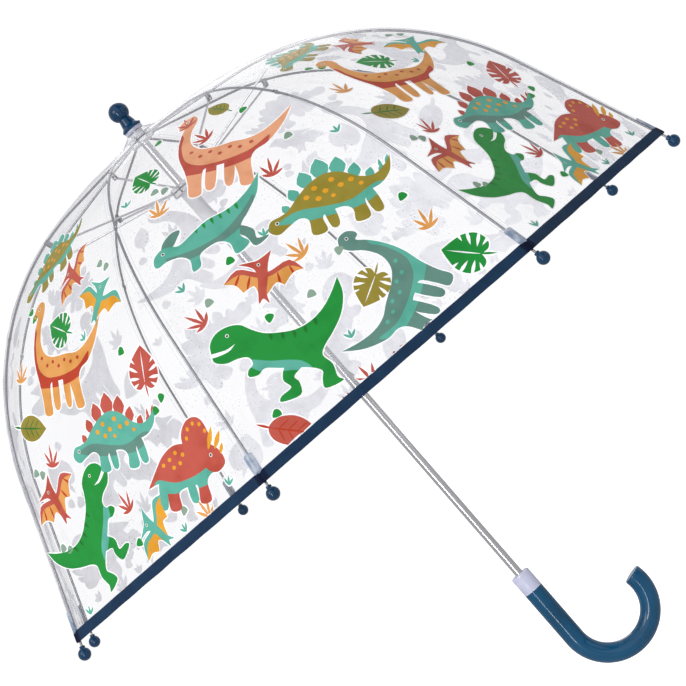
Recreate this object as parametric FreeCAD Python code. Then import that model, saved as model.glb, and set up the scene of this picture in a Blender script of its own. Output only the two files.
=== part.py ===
"""Children's clear dome umbrella, open, as an assembly of separate pieces.

Millimetres, +Z along the shaft towards the ferrule, +X towards the mouth of the crook.
The origin is on the shaft's axis, halfway along the straight grip of the handle.
Everything in the frame and the canopy is drawn once in a radial plane (x outwards, z up,
y across) and then turned about the shaft to its own azimuth.
"""
import FreeCAD, Part
import math
import os

V = FreeCAD.Vector
Z_AXIS = V(0, 0, 1)
Y_AXIS = V(0, 1, 0)

# ---- driving dimensions ---------------------------------------------------------------
RIBS = 8                    # ribs, and as many film panels
FIRST_RIB_AZIMUTH = -150.0  # rib_1, degrees from the crook's mouth

GRIP_LENGTH = 57.6          # straight part of the handle
GRIP_R = 9.45
CROOK_R = 39.0              # centreline radius of the crook
CROOK_SWEEP = 195.5         # degrees, past a half circle, so the end leans in
COLLAR_LENGTH = 19.4
EXPOSED_SHAFT = 527.0       # collar's top to the canopy's peak
SHAFT_R = 4.0
SHAFT_WALL = 0.7
SHAFT_IN_HANDLE = 36.0
SHAFT_IN_FERRULE = 15.0
RUNNING = 0.05              # radial clearance of a fixed sleeve on the shaft
SLIDING = 0.08              # radial clearance of the runner on the shaft

FERRULE_BALL_R = 9.45
FERRULE_HEIGHT = 29.4       # ball's centre above the canopy's peak
FLANGE_R = 10.0
WASHER_THICK = 3.0
WASHER_R = 9.0

# the rib's centreline: straight off the crown, one long arc, straight to the tip
PIVOT_R = 10.0              # crown and runner wires, from the shaft's axis
PIVOT_DROP = 2.4            # crown pivot below the canopy's peak
CROWN_SLOPE = 9.05          # degrees below level at the crown
RIM_SLOPE = 68.0            # degrees below level at the tip
CROWN_RUN = 91.5
SHOULDER_R = 266.0
RIM_RUN = 152.6
RIB_R = 1.1
FLEX_AT = 0.45              # where the rib bends most as it closes, as a share of its length
CLIP_AT = 133.0             # stretcher clip, along the rib
CLIP_DROP = 5.5             # clip rivet below the rib's centreline

STRETCHER_R = 1.0
TAB = 1.2                   # thickness of a flattened eye
EYE_R = 2.0
WIRE_R = 0.6
RIVET_R = 0.8
PIN_PLAY = 0.1              # radial clearance of an eye on its wire or rivet
SIDE_PLAY = 0.3             # each side of an eye in its slot

TIP_BALL_R = 5.6
TIP_NECK_R = 2.4
TIP_NECK = 7.0

FILM = 0.7                  # the film's solid stands for a 0.15 mm film
FILM_OFFSET = 2.5           # film's middle, outside the rib's centreline
PEAK_RISE = 6.5             # the film is drawn up to the ferrule at its peak
PEAK_R = 30.0               # radius where that rise begins
CAP_R = 13.5                # edge of the fixed peak of the film
SEAM_GAP = 0.2              # half the gap between neighbouring film solids

FOLD_ANGLE = 70.0           # the rib's swing, open to closed
TIP_CLOSED_R = 18.0         # tip balls' distance from the axis when closed

# ---- levels and angles worked out from them -------------------------------------------
GRIP_TOP = GRIP_LENGTH / 2
COLLAR_TOP = GRIP_TOP + COLLAR_LENGTH
PEAK = COLLAR_TOP + EXPOSED_SHAFT
CROWN_PIVOT = V(PIVOT_R, 0, PEAK - PIVOT_DROP)
SHOULDER_ARC = SHOULDER_R * math.radians(RIM_SLOPE - CROWN_SLOPE)
RIB_LENGTH = CROWN_RUN + SHOULDER_ARC + RIM_RUN
FLEX_S = RIB_LENGTH * FLEX_AT
HALF_GORE = math.radians(180.0 / RIBS)
AZIMUTHS = [FIRST_RIB_AZIMUTH + 360.0 / RIBS * i for i in range(RIBS)]
GORE_AZIMUTHS = [a + 180.0 / RIBS for a in AZIMUTHS]


# ---- small helpers --------------------------------------------------------------------
def rib_slope(s):
    """Slope of the rib below level, in radians, at distance s along it."""
    along = min(max(s - CROWN_RUN, 0.0), SHOULDER_ARC)
    return math.radians(CROWN_SLOPE) + along / SHOULDER_R


def rib_point(s, offset=0.0):
    """Point of the rib's centreline at distance s, moved outwards from it by offset."""
    first, turn = math.radians(CROWN_SLOPE), rib_slope(s)
    straight = min(s, CROWN_RUN)
    last = max(s - CROWN_RUN - SHOULDER_ARC, 0.0)
    x = CROWN_PIVOT.x + straight * math.cos(first) + last * math.cos(turn)
    z = CROWN_PIVOT.z - straight * math.sin(first) - last * math.sin(turn)
    x += SHOULDER_R * (math.sin(turn) - math.sin(first))
    z -= SHOULDER_R * (math.cos(first) - math.cos(turn))
    return V(x + offset * math.sin(turn), 0, z + offset * math.cos(turn))


def rib_direction(s):
    slope = rib_slope(s)
    return V(math.cos(slope), 0, -math.sin(slope))


def turned(shape, azimuth):
    copy = shape.copy()
    copy.rotate(V(), Z_AXIS, azimuth)
    return copy


def fused(first, *others):
    return first.multiFuse(list(others)).removeSplitter()


def revolved(points, axis=Z_AXIS, base=V()):
    """Solid of revolution of a closed outline of points in the radial plane."""
    outline = Part.makePolygon(points + [points[0]])
    return Part.Face(outline).revolve(base, axis, 360)


def disc(centre, radius, thick, y=0.0):
    """Round plate across the radial plane, centred on y."""
    return Part.makeCylinder(radius, thick, centre + V(0, y - thick / 2, 0), Y_AXIS)


def strap(start, end, width, thick, y=0.0):
    """Flat bar from start to end in the radial plane, centred on y."""
    along = (end - start).normalize()
    side = V(-along.z, 0, along.x) * (width / 2)
    corners = [start + side, end + side, end - side, start - side]
    face = Part.Face(Part.makePolygon(corners + [corners[0]]))
    return face.extrude(V(0, thick, 0)).translate(V(0, y - thick / 2, 0))


def rod_along_rib(start, end, radius):
    """Round rod along the rib's centreline from start to end."""
    marks = [CROWN_RUN, CROWN_RUN + SHOULDER_ARC]
    stops = [start] + [m for m in marks if start < m < end] + [end]
    edges = []
    for a, b in zip(stops, stops[1:]):
        middle = (a + b) / 2
        if CROWN_RUN <= middle <= CROWN_RUN + SHOULDER_ARC:
            edges.append(Part.Arc(rib_point(a), rib_point(middle), rib_point(b)).toShape())
        else:
            edges.append(Part.LineSegment(rib_point(a), rib_point(b)).toShape())
    circle = Part.makeCircle(radius, rib_point(start), rib_direction(start))
    return Part.Wire(edges).makePipeShell([Part.Wire(circle)], True, False)


def ring_slots(z_low, z_high, inner_r, width):
    """Radial slots, one for each rib, cut in from the rim of a notched hub."""
    length = 2 * PIVOT_R
    slot = Part.makeBox(length, width, z_high - z_low, V(inner_r, -width / 2, z_low))
    return [turned(slot, a) for a in AZIMUTHS]


def notched_hub(pivot_z, half_height):
    """Slotted ring that holds eight eyes on one wire, without its bore or its sleeve."""
    rim_r = PIVOT_R + 2.6
    slot_inner_r = PIVOT_R - EYE_R - 0.7
    low, high = pivot_z - half_height, pivot_z + half_height
    hub = Part.makeCylinder(rim_r, high - low, V(0, 0, low))
    groove_half = WIRE_R + RUNNING
    groove = Part.makeCylinder(rim_r + 1, 2 * groove_half, V(0, 0, pivot_z - groove_half))
    groove = groove.cut(
        Part.makeCylinder(PIVOT_R - groove_half, 2 * groove_half, V(0, 0, pivot_z - groove_half))
    )
    slots = ring_slots(low - 1, high + 1, slot_inner_r, TAB + 2 * SIDE_PLAY)
    return hub.cut([groove] + slots)


def wire_ring(pivot_z):
    return Part.makeTorus(PIVOT_R, WIRE_R, V(0, 0, pivot_z))


# ---- linkage: where the stretcher's ends and the runner are ---------------------------
CLIP_PIVOT = rib_point(CLIP_AT, -CLIP_DROP)
STRETCHER_LENGTH = (CLIP_PIVOT - CROWN_PIVOT).Length
# crown-to-clip and clip-to-runner are equal, so the runner's pivot stays at PIVOT_R
RUNNER_PIVOT = V(PIVOT_R, 0, 2 * CLIP_PIVOT.z - CROWN_PIVOT.z)
OPEN_ANGLE = math.degrees(math.atan2(CLIP_PIVOT.x - PIVOT_R, CROWN_PIVOT.z - CLIP_PIVOT.z))
CLOSED_ANGLE = OPEN_ANGLE - FOLD_ANGLE
RUNNER_TRAVEL = 2 * STRETCHER_LENGTH * (
    math.cos(math.radians(CLOSED_ANGLE)) - math.cos(math.radians(OPEN_ANGLE))
)

# ---- handle and shaft -----------------------------------------------------------------
SHAFT_BOTTOM = GRIP_TOP - SHAFT_IN_HANDLE
WASHER_SEAT = PEAK + PEAK_RISE
FLANGE_BOTTOM = WASHER_SEAT + WASHER_THICK
SHAFT_TOP = FLANGE_BOTTOM + SHAFT_IN_FERRULE

RUNNER_HALF = 4.0           # half the height of the runner's notched head
SLEEVE_LENGTH = 34.0
SLEEVE_R = 7.0
RUNNER_BOTTOM = RUNNER_PIVOT.z - RUNNER_HALF - SLEEVE_LENGTH
WINDOW_HEIGHT = 12.0
WINDOW_LOW = RUNNER_BOTTOM + 9.0

CATCH_AZIMUTH = GORE_AZIMUTHS[3]
CATCH_THICK = 1.2
CATCH_HEIGHT = 9.0
CATCH_REACH = 5.6           # nose of a catch from the shaft's axis, sprung out
CATCH_TRAVEL = CATCH_REACH - SHAFT_R
CATCH_PLAY = 0.2
TOP_CATCH_SHELF = RUNNER_BOTTOM - 0.4
BOTTOM_CATCH_SHELF = WINDOW_LOW - RUNNER_TRAVEL + 1.0


def make_handle_crook():
    grip = Part.makeCylinder(GRIP_R, GRIP_LENGTH, V(0, 0, -GRIP_TOP))
    start = Part.Face(Part.Wire(Part.makeCircle(GRIP_R, V(0, 0, -GRIP_TOP), Z_AXIS)))
    crook = start.revolve(V(CROOK_R, 0, -GRIP_TOP), V(0, -1, 0), CROOK_SWEEP)
    body = fused(grip, crook)
    angle = math.radians(CROOK_SWEEP)
    end_centre = V(CROOK_R - CROOK_R * math.cos(angle), 0, -GRIP_TOP - CROOK_R * math.sin(angle))
    rim = min(body.Edges, key=lambda e: (e.CenterOfMass - end_centre).Length)
    body = body.makeFillet(1.6, [rim])
    bore = Part.makeCylinder(
        SHAFT_R + RUNNING, SHAFT_IN_HANDLE + 2, V(0, 0, SHAFT_BOTTOM - 2)
    )
    return body.cut(bore)


def make_handle_collar():
    body = Part.makeCylinder(GRIP_R, COLLAR_LENGTH, V(0, 0, GRIP_TOP))
    rim = max(body.Edges, key=lambda e: e.CenterOfMass.z)
    body = body.makeFillet(1.6, [rim])
    bore = Part.makeCylinder(SHAFT_R + RUNNING, COLLAR_LENGTH + 2, V(0, 0, GRIP_TOP - 1))
    return body.cut(bore)


def catch_slot(shelf, direction):
    """Slot in the tube that one catch comes out through."""
    low = min(shelf, shelf - direction * CATCH_HEIGHT) - CATCH_PLAY
    width = CATCH_THICK + 2 * CATCH_PLAY
    slot = Part.makeBox(SHAFT_R + 1, width, CATCH_HEIGHT + 2 * CATCH_PLAY, V(0, -width / 2, low))
    return turned(slot, CATCH_AZIMUTH)


def make_shaft_tube():
    length = SHAFT_TOP - SHAFT_BOTTOM
    tube = Part.makeCylinder(SHAFT_R, length, V(0, 0, SHAFT_BOTTOM))
    bore = Part.makeCylinder(SHAFT_R - SHAFT_WALL, length + 2, V(0, 0, SHAFT_BOTTOM - 1))
    return tube.cut([bore, catch_slot(TOP_CATCH_SHELF, 1), catch_slot(BOTTOM_CATCH_SHELF, -1)])


def make_catch(shelf, direction):
    """Sprung catch: a leg inside the tube and a ramped nose with a square shelf.

    direction is 1 where the shelf faces up and -1 where it faces down.
    """
    leg_in, leg_out, overhang = -0.3, 3.1, 2.5
    far = shelf - direction * CATCH_HEIGHT
    outline = [
        V(leg_in, 0, shelf + direction * overhang),
        V(leg_out, 0, shelf + direction * overhang),
        V(leg_out, 0, shelf),
        V(CATCH_REACH, 0, shelf),
        V(CATCH_REACH, 0, shelf - direction * CATCH_TRAVEL),
        V(leg_out, 0, far),
        V(leg_out, 0, far - direction * overhang),
        V(leg_in, 0, far - direction * overhang),
    ]
    face = Part.Face(Part.makePolygon(outline + [outline[0]]))
    blade = face.extrude(V(0, CATCH_THICK, 0)).translate(V(0, -CATCH_THICK / 2, 0))
    return turned(blade, CATCH_AZIMUTH)


# ---- crown: ferrule, washer, notched hub ----------------------------------------------
def make_ferrule():
    """Ball, waisted neck and dished flange, turned in one piece, blind bore below."""
    ball_z = PEAK + FERRULE_HEIGHT
    waist_r, flare_r = 5.6, 7.2
    lip, dish = 2.2, 5.2
    outline = [
        V(0, 0, FLANGE_BOTTOM),
        V(FLANGE_R - 0.8, 0, FLANGE_BOTTOM),
        V(FLANGE_R, 0, FLANGE_BOTTOM + lip),
        V(flare_r, 0, FLANGE_BOTTOM + dish),
        V(waist_r, 0, ball_z - FERRULE_BALL_R + 1.8),
        V(waist_r, 0, ball_z),
        V(0, 0, ball_z),
    ]
    body = fused(revolved(outline), Part.makeSphere(FERRULE_BALL_R, V(0, 0, ball_z)))
    bore = Part.makeCylinder(
        SHAFT_R + RUNNING, SHAFT_IN_FERRULE + 1.5, V(0, 0, FLANGE_BOTTOM - 1)
    )
    return body.cut(bore)


def make_canopy_washer():
    ring = Part.makeCylinder(WASHER_R, WASHER_THICK, V(0, 0, WASHER_SEAT))
    bore = Part.makeCylinder(SHAFT_R + RUNNING, WASHER_THICK + 2, V(0, 0, WASHER_SEAT - 1))
    return ring.cut(bore)


def make_top_notch():
    half = 3.5
    boss_r, boss_top = 6.5, WASHER_SEAT - FILM
    hub = notched_hub(CROWN_PIVOT.z, half)
    boss_low = CROWN_PIVOT.z + half
    boss = Part.makeCylinder(boss_r, boss_top - boss_low, V(0, 0, boss_low))
    bore = Part.makeCylinder(SHAFT_R + RUNNING, 40, V(0, 0, CROWN_PIVOT.z - 10))
    return fused(hub, boss).cut(bore)


# ---- runner ---------------------------------------------------------------------------
def make_runner():
    """Notched head and hand sleeve. A keyway runs the length of the bore past both catches."""
    hub = notched_hub(RUNNER_PIVOT.z, RUNNER_HALF)
    sleeve = Part.makeCylinder(SLEEVE_R, SLEEVE_LENGTH, V(0, 0, RUNNER_BOTTOM))
    foot = Part.makeCylinder(SLEEVE_R + 1.2, 3.0, V(0, 0, RUNNER_BOTTOM))
    height = RUNNER_PIVOT.z + RUNNER_HALF - RUNNER_BOTTOM
    bore = Part.makeCylinder(SHAFT_R + SLIDING, height + 2, V(0, 0, RUNNER_BOTTOM - 1))
    width = CATCH_THICK + 4 * CATCH_PLAY
    keyway = Part.makeBox(
        CATCH_REACH + 0.3, width, height + 2, V(0, -width / 2, RUNNER_BOTTOM - 1)
    )
    window = Part.makeBox(2 * SLEEVE_R, 4.0, WINDOW_HEIGHT, V(0, -2.0, WINDOW_LOW))
    cuts = [bore, turned(keyway, CATCH_AZIMUTH), turned(window, CATCH_AZIMUTH)]
    return fused(hub, sleeve, foot).cut(cuts)


# ---- ribs, stretchers and tips, drawn at azimuth 0 ------------------------------------
KNUCKLE = 3.0               # rod's end to the flex pin
KNUCKLE_TAB = 0.95
KNUCKLE_Y = 0.15 + KNUCKLE_TAB / 2
KNUCKLE_R = 1.5
KNUCKLE_PIN_R = 0.5
FLEX_POINT = rib_point(FLEX_S)
EYE_TAB_LENGTH = 8.0


def make_rib():
    """Upper rib: crown eye, rod, stretcher clip with its rivet, and half a knuckle."""
    hole = disc(CROWN_PIVOT, WIRE_R + PIN_PLAY, TAB + 1)
    eye = fused(
        disc(CROWN_PIVOT, EYE_R, TAB),
        strap(CROWN_PIVOT, rib_point(EYE_TAB_LENGTH), 2 * RIB_R, TAB),
    ).cut(hole)
    rod = rod_along_rib(EYE_TAB_LENGTH - 1, FLEX_S - KNUCKLE, RIB_R)
    tab_start = rib_point(FLEX_S - KNUCKLE - 1)
    knuckle = fused(
        disc(FLEX_POINT, KNUCKLE_R, KNUCKLE_TAB, KNUCKLE_Y),
        strap(tab_start, FLEX_POINT, 2 * RIB_R, KNUCKLE_TAB, KNUCKLE_Y),
    ).cut(disc(FLEX_POINT, KNUCKLE_PIN_R + PIN_PLAY, 4))
    saddle_length, saddle_r, ear = 5.0, 1.7, 0.9
    ear_y = TAB / 2 + 0.15 + ear / 2
    saddle = Part.makeCylinder(
        saddle_r,
        saddle_length,
        rib_point(CLIP_AT) - rib_direction(CLIP_AT) * (saddle_length / 2),
        rib_direction(CLIP_AT),
    )
    ears = []
    for y in (ear_y, -ear_y):
        ears.append(strap(rib_point(CLIP_AT), CLIP_PIVOT, 4.0, ear, y))
        ears.append(disc(CLIP_PIVOT, EYE_R, ear, y))
    rivet = disc(CLIP_PIVOT, RIVET_R, 2 * ear_y + ear + 0.8)
    return fused(eye, rod, knuckle, saddle, rivet, *ears)


def make_lower_rib():
    """Lower rib: the other half of the knuckle with its pin, and the rod to the tip."""
    rod = rod_along_rib(FLEX_S + KNUCKLE, RIB_LENGTH - 1, RIB_R)
    tab_end = rib_point(FLEX_S + KNUCKLE + 1)
    return fused(
        rod,
        disc(FLEX_POINT, KNUCKLE_R, KNUCKLE_TAB, -KNUCKLE_Y),
        strap(FLEX_POINT, tab_end, 2 * RIB_R, KNUCKLE_TAB, -KNUCKLE_Y),
        disc(FLEX_POINT, KNUCKLE_PIN_R, 2 * (KNUCKLE_Y + KNUCKLE_TAB / 2)),
    )


def make_stretcher():
    """Straight strut from the runner's wire to the clip's rivet, flattened at both ends."""
    along = (CLIP_PIVOT - RUNNER_PIVOT).normalize()
    low_end = RUNNER_PIVOT + along * EYE_TAB_LENGTH
    high_end = CLIP_PIVOT - along * (EYE_TAB_LENGTH - 1)
    rod = Part.makeCylinder(
        STRETCHER_R, (high_end - low_end).Length + 2, low_end - along, along
    )
    parts = [
        strap(RUNNER_PIVOT, low_end, 2.2, TAB),
        strap(high_end, CLIP_PIVOT, 2.2, TAB),
        disc(RUNNER_PIVOT, EYE_R, TAB),
        disc(CLIP_PIVOT, EYE_R - 0.2, TAB),
    ]
    holes = [
        disc(RUNNER_PIVOT, WIRE_R + PIN_PLAY, TAB + 1),
        disc(CLIP_PIVOT, RIVET_R + PIN_PLAY, TAB + 1),
    ]
    return fused(rod, *parts).cut(holes)


def make_rib_tip():
    """Ball tip with a short neck, bored for the rib's end."""
    end, along = rib_point(RIB_LENGTH), rib_direction(RIB_LENGTH)
    neck = Part.makeCylinder(TIP_NECK_R, TIP_NECK, end - along * TIP_NECK, along)
    ball = Part.makeSphere(TIP_BALL_R, end)
    bore = Part.makeCylinder(RIB_R + 0.02, TIP_NECK + 1, end - along * (TIP_NECK + 1), along)
    return fused(neck, ball).cut(bore)


# ---- film -----------------------------------------------------------------------------
def peak_rise(x):
    """How far the film at radius x is drawn up towards the ferrule."""
    share = max(PEAK_R - x, 0.0) / (PEAK_R - WASHER_R)
    return PEAK_RISE * share**2


def film_peak_z(x):
    """Height of the film at radius x near the peak."""
    start = rib_point(0, FILM_OFFSET)
    fall = math.tan(math.radians(CROWN_SLOPE))
    return start.z - (x - start.x) * fall + peak_rise(x)


def make_canopy_cap():
    """Fixed peak of the film, clamped on the hub's boss under the washer."""
    outer = [V(WASHER_R, 0, WASHER_SEAT)]
    outer += [V(x, 0, film_peak_z(x)) for x in (11.2, CAP_R)]
    inner = [p - V(0, 0, FILM) for p in outer]
    hole_r = SHAFT_R + RUNNING
    hub = [V(hole_r, 0, inner[0].z), V(hole_r, 0, outer[0].z)]
    return revolved(hub + outer + inner[::-1])


def film_section_point(s, offset):
    """Point of the film's flat-across section in the middle plane of a panel."""
    p = rib_point(s, FILM_OFFSET + offset)
    return V(p.x * math.cos(HALF_GORE), 0, p.z + peak_rise(p.x))


def film_panel(start, end, steps=12):
    """Film between two ribs, from start to end along them: level straight across the panel."""
    stations = [start + (end - start) * i / steps for i in range(steps + 1)]
    outer, inner = Part.BSplineCurve(), Part.BSplineCurve()
    outer.interpolate([film_section_point(s, FILM / 2) for s in stations])
    inner.interpolate([film_section_point(s, -FILM / 2) for s in stations])
    sides = [
        Part.LineSegment(outer.StartPoint, inner.StartPoint).toShape(),
        Part.LineSegment(outer.EndPoint, inner.EndPoint).toShape(),
    ]
    edges = Part.sortEdges([outer.toShape(), inner.toShape()] + sides)[0]
    face = Part.Face(Part.Wire(edges))
    reach = rib_point(RIB_LENGTH).x
    sheet = face.extrude(V(0, 2 * reach, 0)).translate(V(0, -reach, 0))
    edge_angle = math.tan(HALF_GORE)
    apex = V(SEAM_GAP / math.sin(HALF_GORE), 0, 0)
    corners = [apex, apex + V(2 * reach, 2 * reach * edge_angle, 0)]
    corners.append(apex + V(2 * reach, -2 * reach * edge_angle, 0))
    wedge = Part.Face(Part.makePolygon(corners + [apex])).extrude(V(0, 0, 2 * PEAK))
    return sheet.common(wedge)


FILM_START = (CAP_R + 1.0 - PIVOT_R) / math.cos(math.radians(CROWN_SLOPE))
FILM_END = RIB_LENGTH - TIP_NECK - 0.5


# ---- build and write ------------------------------------------------------------------
def build():
    """Every node's shape, by name."""
    nodes = {
        "handle_crook": make_handle_crook(),
        "handle_collar": make_handle_collar(),
        "shaft_tube": make_shaft_tube(),
        "ferrule": make_ferrule(),
        "canopy_washer": make_canopy_washer(),
        "canopy_cap": make_canopy_cap(),
        "top_notch": make_top_notch(),
        "top_notch_wire": wire_ring(CROWN_PIVOT.z),
        "runner": make_runner(),
        "runner_wire": wire_ring(RUNNER_PIVOT.z),
        "top_catch": make_catch(TOP_CATCH_SHELF, 1),
        "bottom_catch": make_catch(BOTTOM_CATCH_SHELF, -1),
    }
    on_ribs = {
        "rib": make_rib(),
        "lower_rib": make_lower_rib(),
        "stretcher": make_stretcher(),
        "rib_tip": make_rib_tip(),
    }
    on_gores = {
        "gore": film_panel(FILM_START, FLEX_S - SEAM_GAP),
        "lower_gore": film_panel(FLEX_S + SEAM_GAP, FILM_END),
    }
    for i in range(RIBS):
        for name, shape in on_ribs.items():
            nodes[f"{name}_{i + 1}"] = turned(shape, AZIMUTHS[i])
        for name, shape in on_gores.items():
            nodes[f"{name}_{i + 1}"] = turned(shape, GORE_AZIMUTHS[i])
    return nodes


os.makedirs("parts", exist_ok=True)
for node_name, node_shape in build().items():
    node_shape.exportStep(f"parts/{node_name}.step")
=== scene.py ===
"""Looks of the children's clear dome umbrella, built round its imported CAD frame. Metres."""
import bpy
import math
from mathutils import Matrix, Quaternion, Vector, noise
from mathutils.geometry import delaunay_2d_cdt


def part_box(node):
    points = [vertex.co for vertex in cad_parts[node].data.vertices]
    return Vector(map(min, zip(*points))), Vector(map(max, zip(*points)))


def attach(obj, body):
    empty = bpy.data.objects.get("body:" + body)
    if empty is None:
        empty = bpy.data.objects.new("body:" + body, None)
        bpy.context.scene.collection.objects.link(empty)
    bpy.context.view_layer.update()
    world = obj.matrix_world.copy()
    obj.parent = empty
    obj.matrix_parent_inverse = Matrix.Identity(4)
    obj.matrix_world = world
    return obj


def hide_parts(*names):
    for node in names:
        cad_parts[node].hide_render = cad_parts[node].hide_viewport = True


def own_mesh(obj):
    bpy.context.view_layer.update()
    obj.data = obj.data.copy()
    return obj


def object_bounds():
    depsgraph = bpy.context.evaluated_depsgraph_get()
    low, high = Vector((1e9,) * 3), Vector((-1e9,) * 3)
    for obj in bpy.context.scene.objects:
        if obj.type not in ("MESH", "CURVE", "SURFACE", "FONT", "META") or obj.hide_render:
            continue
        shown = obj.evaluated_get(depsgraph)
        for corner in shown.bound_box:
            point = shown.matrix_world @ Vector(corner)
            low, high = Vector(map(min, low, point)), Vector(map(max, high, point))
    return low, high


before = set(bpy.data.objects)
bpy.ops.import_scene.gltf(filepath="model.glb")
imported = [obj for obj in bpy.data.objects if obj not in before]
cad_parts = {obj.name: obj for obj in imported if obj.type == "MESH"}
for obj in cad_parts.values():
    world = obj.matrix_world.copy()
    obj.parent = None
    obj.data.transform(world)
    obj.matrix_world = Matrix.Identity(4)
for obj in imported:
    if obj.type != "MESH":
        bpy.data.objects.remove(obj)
cad_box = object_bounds()

MM = 0.001
GORES = 8
HALF_GORE = math.pi / GORES
FIRST_GORE_AZIMUTH = math.radians(-127.5)

# ---- the rib's line and the film on it, as in the CAD model -------------------------------
wire_low, wire_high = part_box("top_notch_wire")
CROWN_Z = (wire_low.z + wire_high.z) / 2
PIVOT_R = wire_high.x - (wire_high.z - wire_low.z) / 2
PEAK = CROWN_Z + 2.4 * MM
WASHER_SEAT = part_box("canopy_washer")[0].z
CROWN_SLOPE = math.radians(9.05)
RIM_SLOPE = math.radians(68.0)
CROWN_RUN = 91.5 * MM
SHOULDER_R = 266.0 * MM
SHOULDER_ARC = SHOULDER_R * (RIM_SLOPE - CROWN_SLOPE)
RIM_RUN = 152.6 * MM
RIB_LENGTH = CROWN_RUN + SHOULDER_ARC + RIM_RUN
FLEX_S = 0.45 * RIB_LENGTH
FILM_OFFSET = 2.5 * MM
PEAK_RISE = 6.5 * MM
PEAK_R = 30.0 * MM
WASHER_R = 9.0 * MM
CAP_R = 14.5 * MM
FILM_START = (CAP_R - PIVOT_R) / math.cos(CROWN_SLOPE)
FILM_END = RIB_LENGTH - 11.0 * MM

CROWN_BULGE = 3.2 * MM
RIPPLE = 0.9 * MM
RIPPLE_LENGTH = 60 * MM
HEM_PULL = 0.5 * MM
CROWN_GATHER = 0.35 * MM

HEM_WIDTH = 9.5 * MM
HEM_MIDDLE = RIB_LENGTH - 15.2 * MM
TAB_LENGTH = 19 * MM
TAB_WIDTH = 9 * MM

# Each panel folds as bands along the rib: its end, and the share of its width left when closed.
UPPER_BANDS = (
    (45 * MM, 0.40), (90 * MM, 0.31), (135 * MM, 0.25), (180 * MM, 0.19), (FLEX_S, 0.13),
)
LOWER_BANDS = ((330 * MM, 0.125), (430 * MM, 0.11), (FILM_END, 0.07))


def rib_slope(s):
    return CROWN_SLOPE + min(max(s - CROWN_RUN, 0.0), SHOULDER_ARC) / SHOULDER_R


def rib_point(s, offset=0.0):
    """Radius and height of the rib's line at distance s, moved outwards by offset."""
    turn = rib_slope(s)
    straight = min(s, CROWN_RUN)
    last = max(s - CROWN_RUN - SHOULDER_ARC, 0.0)
    x = PIVOT_R + straight * math.cos(CROWN_SLOPE) + last * math.cos(turn)
    z = CROWN_Z - straight * math.sin(CROWN_SLOPE) - last * math.sin(turn)
    x += SHOULDER_R * (math.sin(turn) - math.sin(CROWN_SLOPE))
    z -= SHOULDER_R * (math.cos(CROWN_SLOPE) - math.cos(turn))
    return x + offset * math.sin(turn), z + offset * math.cos(turn)


def gore_azimuth(gore):
    return FIRST_GORE_AZIMUTH + 2 * HALF_GORE * gore


def placed(radial, across, z, azimuth):
    c, s = math.cos(azimuth), math.sin(azimuth)
    return Vector((radial * c - across * s, radial * s + across * c, z))


def half_width(s):
    return rib_point(s, FILM_OFFSET)[0] * math.sin(HALF_GORE)


def film_point(s, u, gore, out=0.0):
    """The film at distance s along the rib and share u across, from -1 at one rib to 1."""
    x, z = rib_point(s, FILM_OFFSET + out)
    z += PEAK_RISE * (max(PEAK_R - x, 0.0) / (PEAK_R - WASHER_R)) ** 2
    azimuth = gore_azimuth(gore)
    share = s / RIB_LENGTH
    slack = 1 - u * u
    # a slow bulge, uneven ripples, pulls that fade away from the hem, gathers from the crown
    crown = CROWN_BULGE * math.sin(math.pi * min(share / 0.95, 1)) * slack
    ripple = RIPPLE * slack * noise.noise((u * 2.2 + 9 * gore, s / RIPPLE_LENGTH, 3.1))
    pull = HEM_PULL * slack * math.exp(-(1 - share) * 9) * math.sin(u * 21 + gore)
    gather = CROWN_GATHER * math.exp(-share * 14) * math.sin(u * 24 + 2 * gore)
    bulge = crown + ripple + pull + gather
    turn = rib_slope(s)
    radial = x * math.cos(HALF_GORE) + bulge * math.sin(turn)
    return placed(radial, u * x * math.sin(HALF_GORE), z + bulge * math.cos(turn), azimuth)


# ---- camera --------------------------------------------------------------------------------
def make_camera():
    """Just above the rim and well back, rolled so that the umbrella leans as if carried."""
    distance, right, below_peak = 2.110, 0.045, 0.3013
    yaw, pitch, roll = math.radians(0.77), math.radians(1.02), math.radians(-41.0)
    lens_mm, sensor_mm, farthest = 121.6, 36.0, 50.0
    camera = bpy.data.objects.new("camera", bpy.data.cameras.new("camera"))
    camera.data.lens = lens_mm
    camera.data.sensor_width = sensor_mm
    camera.data.clip_end = farthest
    level_part = math.cos(pitch)
    forward = Vector((-math.sin(yaw) * level_part, math.cos(yaw) * level_part, math.sin(pitch)))
    camera.rotation_mode = "QUATERNION"
    level = forward.to_track_quat("-Z", "Y")
    camera.rotation_quaternion = level @ Quaternion((0, 0, 1), roll)
    camera.location = (right, -distance, PEAK - below_peak)
    bpy.context.scene.collection.objects.link(camera)
    bpy.context.scene.camera = camera


make_camera()


# ---- materials -----------------------------------------------------------------------------
def linear(display):
    """A colour as it looks on a screen, as linear light."""
    light = [v / 12.92 if v <= 0.04045 else ((v + 0.055) / 1.055) ** 2.4 for v in display]
    return (*light, 1.0)


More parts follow.
